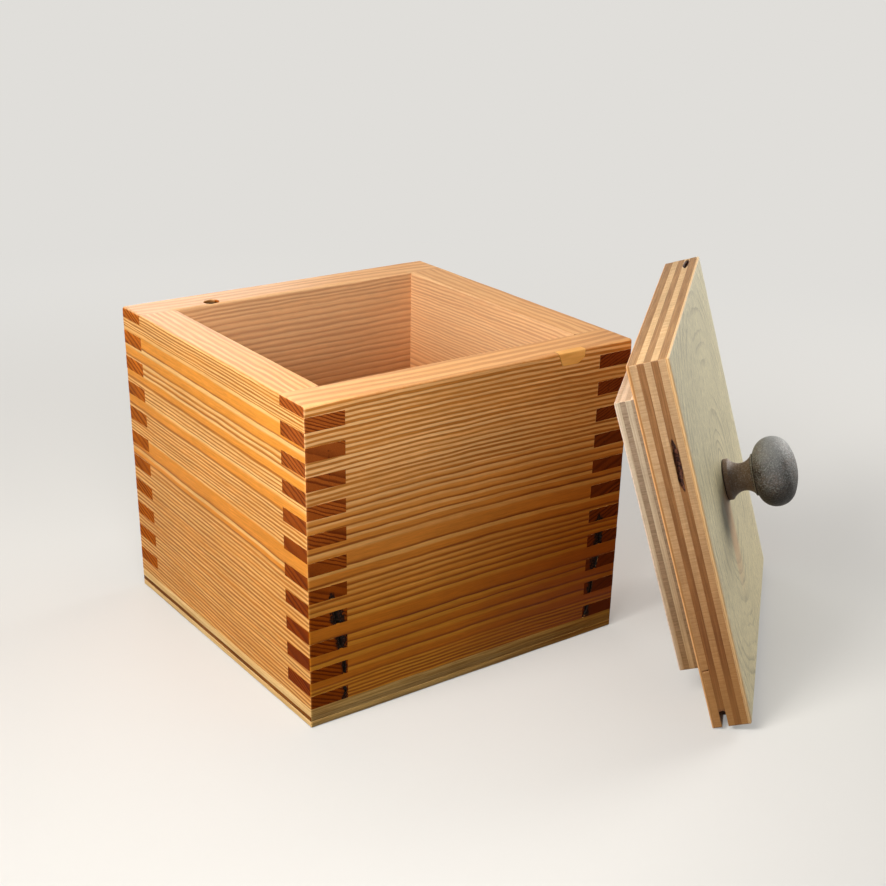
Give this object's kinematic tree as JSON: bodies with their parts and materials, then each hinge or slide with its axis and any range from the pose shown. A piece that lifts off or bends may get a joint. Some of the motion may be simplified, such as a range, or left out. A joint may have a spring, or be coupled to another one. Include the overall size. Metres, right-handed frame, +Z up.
{
  "type": "finger-jointed wooden box with loose lid",
  "caption": "Square finger-jointed wooden box with a plywood base and a loose plywood lid with a turned knob, the lid stood on edge and leaning on the box.",
  "frame": {"origin": "centre of the box's underside, on the ground", "axes": "+X along the front wall towards the corner that the lid leans on, +Y from the front wall to the back wall, +Z up"},
  "size_m": [0.2872, 0.2796, 0.1665],
  "materials": {
    "front_board": "clear-oiled straight-grained softwood, darker orange-brown",
    "back_board": "clear-oiled straight-grained softwood",
    "left_board": "clear-oiled straight-grained softwood, honey-orange",
    "right_board": "clear-oiled straight-grained softwood",
    "patch_wood": "lighter repair wood, sanded flush",
    "base_veneer": "bare plywood face veneer",
    "base_crossband": "end-grain crossband, dark",
    "lid_long_core": "plywood core, long grain at the edge",
    "lid_end_core": "plywood core, end grain at the edge",
    "lid_inner_face": "plywood face veneer",
    "lid_outer_face": "grey-green weathered face veneer with a faint cathedral grain",
    "panel_light_ply": "dull beige ply",
    "panel_dark_ply": "dull grey-brown ply",
    "knob_wood": "weathered grey-brown turned wood with a worn finish",
    "screw_steel": "zinc-plated steel"
  },
  "bodies": {
    "box": {"front_wall": "front_board", "back_wall": "back_board", "left_wall": "left_board", "right_wall": "right_board", "edge_patch": "patch_wood", "base_upper_ply": "base_veneer", "base_core_ply": "base_crossband", "base_lower_ply": "base_veneer"},
    "lid": {"lid_inner_veneer": "lid_inner_face", "lid_core_1_long": "lid_long_core", "lid_core_1_short": "lid_long_core", "lid_core_2": "lid_end_core", "lid_core_3": "lid_long_core", "lid_core_4": "lid_end_core", "lid_core_5": "lid_long_core", "lid_outer_veneer": "lid_outer_face", "panel_ply_1": "panel_light_ply", "panel_ply_2": "panel_dark_ply", "panel_ply_3": "panel_light_ply", "panel_ply_4": "panel_dark_ply", "panel_ply_5": "panel_light_ply", "lid_knob": "knob_wood", "knob_screw": "screw_steel"}
  },
  "joints": [
    {"name": "lid_lift", "type": "slide", "parent": "box", "child": "lid", "axis": [0, 0, 1], "range_m": [0, 0.16]}
  ]
}
